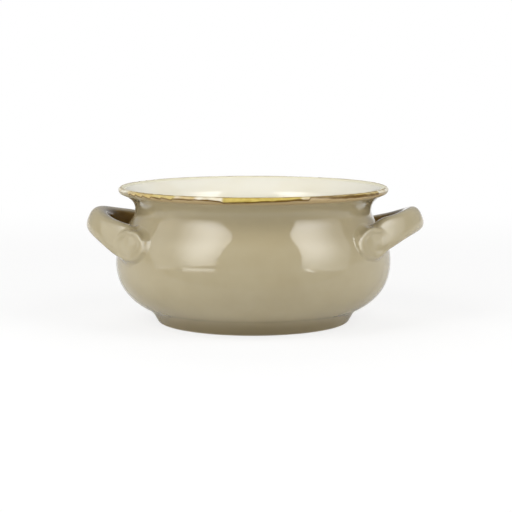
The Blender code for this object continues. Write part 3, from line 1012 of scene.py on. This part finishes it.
class Strap:
    """A handle's strap: its centre line is an ellipse on a tilted plane, and its section a superellipse."""

    def __init__(self, handle):
        self.placing = loop_placing(handle)
        self.unplacing = np.linalg.inv(self.placing)
        self.slope_starts = handle.slope_starts
        self.root_turns = {
            side: float(meeting_turn(self.centre_line, np.array(0.0), side)) for side in (-1, 1)
        }
        self.root_turn = (self.root_turns[1] - self.root_turns[-1]) / 2

    def centre_line(self, turn):
        """Points of the ellipse at the angle turn."""
        x, y = LOOP_DEPTH * np.cos(turn), LOOP_HALF_SPAN * np.sin(turn)
        return placed(np.stack((x, y, np.zeros_like(turn)), axis=-1), self.placing)

    def section(self, turn, speed, up):
        """Squareness of the section at a turn, and its half width over or under the centre line.

        It swells and squares off round the pressed roots by a bell curve of the distance from them, and its
        top slopes down by a smooth step where it goes into the wall.
        """
        from_root = (np.abs(turn) - self.root_turn) * speed
        slope_start = np.where(turn < 0, self.slope_starts[-1], self.slope_starts[1])
        paddle = np.exp(-((from_root / PADDLE_LENGTH) ** 2))
        sloped = PADDLE_DROP * smooth_step(slope_start, PADDLE_DROP_END, from_root)
        spread = np.where(up < 0, paddle * PADDLE_SPREAD_UNDER, paddle * PADDLE_SPREAD_OVER - sloped)
        return STRAP_SQUARENESS + PADDLE_SQUARENESS * paddle, STRAP_WIDTH / 2 + spread

    def skin(self, turn, angle):
        """Points at a turn along the strap and an angle round its section.

        The section lies in the plane of the ellipse's outward normal and the loop's own upright.
        """
        cos_t, sin_t = np.cos(turn), np.sin(turn)
        tx, ty = -LOOP_DEPTH * sin_t, LOOP_HALF_SPAN * cos_t
        speed = np.hypot(tx, ty)
        c, s = np.cos(angle), np.sin(angle)
        power, half_width = self.section(turn, speed, s)
        out = STRAP_THICKNESS / 2 * np.sign(c) * np.abs(c) ** (2 / power)
        up = half_width * np.sign(s) * np.abs(s) ** (2 / power)
        x = LOOP_DEPTH * cos_t + ty / speed * out
        y = LOOP_HALF_SPAN * sin_t - tx / speed * out
        return placed(np.stack((x, y, up), axis=-1), self.placing)

    def distance(self, point):
        """Distance from the strap's skin.

        The nearest turn of the ellipse is found by Newton's steps. In the section there, the point's distance
        from the centre line is shortened by its share of the superellipse.
        """
        x, y, z = np.moveaxis(placed(point, self.unplacing), -1, 0)
        turn = np.arctan2(y / LOOP_HALF_SPAN, x / LOOP_DEPTH)
        for _ in range(NEAREST_ROUNDS):
            c, s = np.cos(turn), np.sin(turn)
            dx, dy = x - LOOP_DEPTH * c, y - LOOP_HALF_SPAN * s
            tx, ty = -LOOP_DEPTH * s, LOOP_HALF_SPAN * c
            slope = -(tx * tx + ty * ty) - dx * LOOP_DEPTH * c - dy * LOOP_HALF_SPAN * s
            turn = turn - np.clip((dx * tx + dy * ty) / np.minimum(slope, -1e-5), -MOST_TURN, MOST_TURN)
        c, s = np.cos(turn), np.sin(turn)
        tx, ty = -LOOP_DEPTH * s, LOOP_HALF_SPAN * c
        speed = np.hypot(tx, ty)
        out = ((x - LOOP_DEPTH * c) * ty - (y - LOOP_HALF_SPAN * s) * tx) / speed
        power, half_width = self.section(turn, speed, z)
        share = (np.abs(2 * out / STRAP_THICKNESS) ** power + np.abs(z / half_width) ** power) ** (1 / power)
        return np.hypot(out, z) * (1.0 - 1.0 / np.maximum(share, 1e-6))


class Root:
    """One root of a strap, with its thumb-pressed disc and the ridge of clay round that.

    The disc has a middle, a way out, a way along the arm and a way up.
    """

    def __init__(self, strap, side, lead, rise, marks):
        self.strap = strap
        self.side = side
        self.marks = marks
        self.point = strap.centre_line(np.array(strap.root_turns[side]))
        self.bearing = math.atan2(self.point[1], self.point[0])
        self.radius = math.hypot(self.point[0], self.point[1])
        self.seat = self.bearing + side * lead / self.radius
        face = self.bearing + side * DISC_TURN
        self.middle = round_axis(self.radius + DISC_PROUD, self.seat, self.point[2] + rise)
        self.out = round_axis(math.cos(DISC_LIFT), face, math.sin(DISC_LIFT))
        self.along = side * np.array((math.sin(face), -math.cos(face), 0.0))
        self.up = -side * np.cross(self.out, self.along)

    def print_height(self, u, v):
        """Height of the pressed face over the disc's plane, at a place along the arm and up.

        A round crest falls to a hollow inside it and away outside it, and fades into the strap towards the
        arm. Each mark adds a small round bump or dent.
        """
        radius = np.hypot(u / DISC_STRETCH, v)
        outside = np.maximum(radius - DISC_CREST, 0.0)
        height = -DISC_HOLLOW * smooth_step(DISC_CREST, DISC_HOLLOW_RADIUS, radius)
        height = height - outside**2 / (2 * DISC_EDGE)
        height = height - DISC_FADE * smooth_step(0.0, DISC_CREST * DISC_STRETCH, u)
        for mark_u, mark_v, size, rise in self.marks:
            height = height + rise * np.exp(-((u - mark_u) ** 2 + (v - mark_v) ** 2) / size**2)
        return height

    def disc_distance(self, point, sunk):
        """Distance from the sunk disc: over its face, past its side or behind its back, whichever is most."""
        offset = point - self.middle + sunk * self.out
        height, u, v = offset @ self.out, offset @ self.along, offset @ self.up
        face = height - self.print_height(u, v)
        side = np.hypot(u / DISC_STRETCH, v) - DISC_RADIUS
        shell = -smooth_least(-face, -side, DISC_EDGE)
        return -smooth_least(-shell, height + DISC_DEPTH, DISC_BLEND)

    def ridge(self, point):
        """Height over the wall of the clay smeared up round the disc.

        An oval bank rises and falls again by smooth steps, and fades out beside the arm and towards its top.
        """
        turned = np.arctan2(point[..., 1], point[..., 0]) - self.seat
        away = self.side * self.radius * np.arctan2(np.sin(turned), np.cos(turned))
        over = (point[..., 2] - self.middle[2]) / RIDGE_HALF_HEIGHT
        share = np.hypot(away / RIDGE_HALF_LENGTH, over)
        groove = RIDGE_GROOVE * smooth_step(RIDGE_CREST, RIDGE_GROOVE_EDGE, share)
        bank = smooth_step(1.0, RIDGE_CREST, share) - groove
        return RIDGE_HEIGHT * bank * smooth_step(0.0, RIDGE_FADE, away) * smooth_step(*RIDGE_TOP, over)

    def field(self, point, sunk=0.0):
        """Distance from the rounded union of the strap, the disc, sunk by a length, and the ridged wall."""
        clay = smooth_least(self.strap.distance(point), self.disc_distance(point, sunk), DISC_BLEND)
        return smooth_least(clay, wall_distance(point) - self.ridge(point), WALL_BLEND)

    def landing(self, angle, size=1.0, depth=LAND_SINK):
        """Closed line on the wall where the root's skin ends: an oval, longer towards the disc.

        A size under one and a greater depth give the lines that close the skin's end inside the clay.
        """
        ahead = LAND_LEAD + size * LAND_HALF_LENGTH * np.cos(angle)
        bearing = self.bearing + self.side * ahead / self.radius
        half_height = np.where(np.sin(angle) > 0, LAND_OVER, LAND_UNDER)
        height = self.point[2] + size * half_height * np.sin(angle)
        return round_axis(wall_radius(bearing, height) - depth, bearing, height)

    def skin(self, angle):
        """Turns at which the strap leaves the root, and the points of the root's skin from wall to strap.

        Each column starts as a parabola from the landing to the strap, drawn towards the line where strap and
        wall meet. The points are carried on to the union's skin while the disc rises to its place, and evened
        out as they go.
        """
        def line(turn):
            return self.strap.skin(turn, angle)

        meet = meeting_turn(line, np.zeros(STRAP_COLUMNS), self.side)
        speed = np.linalg.norm(line(meet + TURN_STEP) - line(meet - TURN_STEP), axis=1) / (2 * TURN_STEP)
        away = by_facing(np.cos(angle), LEAVE_FRONT, LEAVE_SIDE, LEAVE_BACK)
        leave = meet - self.side * away / speed
        landing = self.landing(angle)
        share = np.linspace(0.0, 1.0, FILLET_ROWS)[:, None]
        sink = -LAND_SINK * smooth_step(*STAYS_SUNK, share)
        ease = EVENING * smooth_step(0.0, EVENED_FROM, share) * smooth_step(1.0, EVENED_TO, share)
        s = share[..., None]
        skin = (1 - s) ** 2 * landing + 2 * s * (1 - s) * line(meet) + s * s * line(leave)
        for sunk in np.linspace(DISC_PROUD, 0.0, DISC_RISE_ROUNDS):
            skin = evened(carried_on(skin, lambda point: self.field(point, sunk), sink, rounds=2), ease)
        for _ in range(SETTLE_ROUNDS):
            skin = evened(carried_on(skin, self.field, sink, rounds=1), ease)
        skin = carried_on(skin, self.field, sink, LAST_ROUNDS)
        skin[0] = landing
        return leave, skin


def build_handle(name, handle, material, *nodes):
    """A strap handle with its pressed roots, as one skin from inside the wall round to inside the wall.

    Rows run along the strap and columns round its section. Its stored value of painted shade is 1 on the
    strap's inner side, which faces the wall, and falls by smooth steps round the section and towards the
    wall.
    """
    strap = Strap(handle)
    angle = -bearings(STRAP_COLUMNS)
    roots = [Root(strap, side, *handle.disc_seat, handle.marks[side]) for side in (-1, 1)]
    (first, first_skin), (last, last_skin) = [root.skin(angle) for root in roots]
    caps = [np.stack([root.landing(angle, size, CAP_DEPTH) for size in CAP_SIZES]) for root in roots]
    poles = [root.landing(angle, 0.0, CAP_DEPTH)[0] for root in roots]
    arm = np.linspace(0.0, ARM_SHARE, ARM_ROWS, endpoint=False)
    grip = np.linspace(ARM_SHARE, 1.0 - ARM_SHARE, GRIP_ROWS, endpoint=False)
    other_arm = np.linspace(1.0 - ARM_SHARE, 1.0, ARM_ROWS)
    shares = np.concatenate((arm, grip, other_arm))[1:-1, None]
    middle = strap.skin(first + shares * (last - first), angle)
    points = np.concatenate((caps[0], first_skin, middle, last_skin[::-1], caps[1][::-1]))
    made = surface(name, points, material, poles=poles)
    off_wall = smooth_step(*SHADE_OFF_WALL, np.linspace(0.0, 1.0, FILLET_ROWS))
    at_cap = np.zeros(len(CAP_SIZES))
    on_strap = np.concatenate((at_cap, off_wall, np.ones(len(middle)), off_wall[::-1], at_cap))
    # Painted shade on the strap's inner side, fading off towards the wall
    keep_values(made, "painted_shade", on_strap[:, None] * smooth_step(*SHADE_INWARD, -np.cos(angle)))
    settle(made, "outer_glaze", *nodes)


def studio_sheet(name, material, low, high, height):
    """A level sheet of the studio, between its left front corner and its right rear one."""
    corners = [(low[0], low[1]), (high[0], low[1]), (high[0], high[1]), (low[0], high[1])]
    mesh = bpy.data.meshes.new(name)
    mesh.from_pydata([(x, y, height) for x, y in corners], [], [(0, 1, 2, 3)])
    mesh.materials.append(material)
    sheet = shown(name, mesh)
    return sheet


def build_floor():
    """A pale floor that stays white to the eye but keeps the pot's soft shadow."""
    material, nodes = new_material("pale_floor")
    rays = nodes.add("ShaderNodeLightPath")
    far = nodes.step(*FLOOR_WHITENS, nodes.length(nodes.place()))
    whiteness = nodes.math("MULTIPLY_ADD", far, 1.0 - FLOOR_WHITE_NEAR, FLOOR_WHITE_NEAR)
    to_eye = nodes.math("MULTIPLY", rays.outputs["Is Camera Ray"], whiteness)
    share = nodes.math("MAXIMUM", to_eye, nodes.math("MULTIPLY", nodes.mirrored(rays), far))
    paint = nodes.add("ShaderNodeBsdfDiffuse", {"Color": FLOOR_PAINT})
    white = nodes.add("ShaderNodeEmission", {"Color": WHITE, "Strength": 1.0})
    mixed = nodes.add("ShaderNodeMixShader", {0: share, 1: paint.outputs[0], 2: white.outputs[0]})
    nodes.add("ShaderNodeOutputMaterial", {"Surface": mixed.outputs[0]})
    studio_sheet("floor", material, (-FLOOR_HALF, -FLOOR_HALF), (FLOOR_HALF, FLOOR_HALF), 0.0)


def build_card():
    """A grey card that lies before the pot and is seen only in the glaze's reflections."""
    material, nodes = new_material("reading_card")
    paint = nodes.add("ShaderNodeBsdfDiffuse", {"Color": CARD_PAINT})
    nodes.add("ShaderNodeOutputMaterial", {"Surface": paint.outputs[0]})
    card = studio_sheet("reading_card", material, CARD_LOW, CARD_HIGH, CARD_HEIGHT)
    card.visible_camera = False
    card.visible_diffuse = False
    card.visible_shadow = False


def build_world():
    """White to the eye, white at eye level and grey overhead in reflections, and a quiet even light."""
    world = bpy.data.worlds.new("studio")
    nodes = Nodes(world)
    rays = nodes.add("ShaderNodeLightPath")
    upward = nodes.part(nodes.add("ShaderNodeTexCoord").outputs["Generated"], "Z")
    overhead = nodes.math("MULTIPLY_ADD", nodes.step(*OVERHEAD_RISE, upward), OVERHEAD - 1.0, 1.0)
    soft, room, white = [
        nodes.add("ShaderNodeBackground", {"Color": WHITE, "Strength": strength}).outputs[0]
        for strength in (AMBIENT, overhead, 1.0)
    ]
    unseen = nodes.add("ShaderNodeMixShader", {0: nodes.mirrored(rays), 1: soft, 2: room}).outputs[0]
    mixed = nodes.add("ShaderNodeMixShader", {0: rays.outputs["Is Camera Ray"], 1: unseen, 2: white})
    nodes.add("ShaderNodeOutputWorld", {"Surface": mixed.outputs[0]})
    bpy.context.scene.world = world


def build_softbox(name, box):
    """A soft panel that faces the pot from its bearing.

    It tilts forward over the pot and leans in its own plane. Its light falls by a smooth step from a hot
    spot, given across from the edge nearer the camera and up, to its edges.
    """
    lamp = bpy.data.lights.new(name, "AREA")
    lamp.shape = "RECTANGLE"
    lamp.size = box.width
    lamp.size_y = box.length
    lamp.energy = box.light * math.pi * box.width * box.length
    nodes = Nodes(lamp)
    place = nodes.add("ShaderNodeNewGeometry").outputs["Parametric"]
    hot_across = box.hot_spot[0] if box.bearing > 0 else 1.0 - box.hot_spot[0]
    aside = nodes.math("SUBTRACT", nodes.part(place, "X"), hot_across)
    over = nodes.math("SUBTRACT", nodes.part(place, "Y"), box.hot_spot[1])
    shares = {"X": nodes.math("DIVIDE", aside, box.spread[0]), "Y": nodes.math("DIVIDE", over, box.spread[1])}
    away = nodes.length(nodes.add("ShaderNodeCombineXYZ", shares).outputs[0])
    least = box.edge_light / box.light
    fall = nodes.math("MULTIPLY_ADD", nodes.step(1.0, 0.0, away), 1.0 - least, least)
    glow = nodes.add("ShaderNodeEmission", {"Color": WHITE, "Strength": fall})
    nodes.add("ShaderNodeOutputLight", {"Surface": glow.outputs[0]})
    bearing = math.radians(box.bearing)
    upright = Matrix.Rotation(bearing, 3, "Z") @ Matrix.Rotation(math.pi / 2 - math.radians(box.tilt), 3, "X")
    foot = Vector((SOFTBOX_DISTANCE * math.sin(bearing), -SOFTBOX_DISTANCE * math.cos(bearing), box.low))
    panel = shown(name, lamp)
    panel.location = foot + upright @ Vector((0.0, box.length / 2, 0.0))
    panel.rotation_euler = (upright @ Matrix.Rotation(math.radians(box.lean), 3, "Z")).to_euler()
    panel.visible_camera = False
    panel.visible_glossy = box.mirrored


def build_camera():
    """The photograph's view: focal length and shift worked out from its pixels."""
    data = bpy.data.cameras.new("camera")
    data.sensor_width = SENSOR
    data.lens = SENSOR * FOCAL_PIXELS / IMAGE_SIZE
    data.shift_x = (IMAGE_SIZE / 2 - CENTRE_PIXEL[0]) / IMAGE_SIZE
    data.shift_y = (CENTRE_PIXEL[1] - IMAGE_SIZE / 2) / IMAGE_SIZE
    camera = shown("camera", data)
    pitch = math.atan2(CAMERA_HEIGHT - AIM_HEIGHT, CAMERA_DISTANCE)
    camera.location = (0.0, -CAMERA_DISTANCE, CAMERA_HEIGHT)
    camera.rotation_euler = (math.pi / 2 - pitch, 0.0, 0.0)
    bpy.context.scene.camera = camera


build_camera()
build_world()
build_floor()
build_card()
for softbox_name, softbox in SOFTBOXES.items():
    build_softbox(softbox_name, softbox)

taupe = handle_glaze()
build_pot(pot_glaze())
build_lining(lining_glaze())
build_rim(rim_glaze())
build_handle(
    "left_strap_handle", LEFT_HANDLE, taupe,
    "left_handle", "left_front_root_pad", "left_rear_root_pad",
)
build_handle(
    "right_strap_handle", RIGHT_HANDLE, taupe,
    "right_handle", "right_front_root_pad", "right_rear_root_pad",
)

bpy.context.scene.view_settings.view_transform = "Standard"
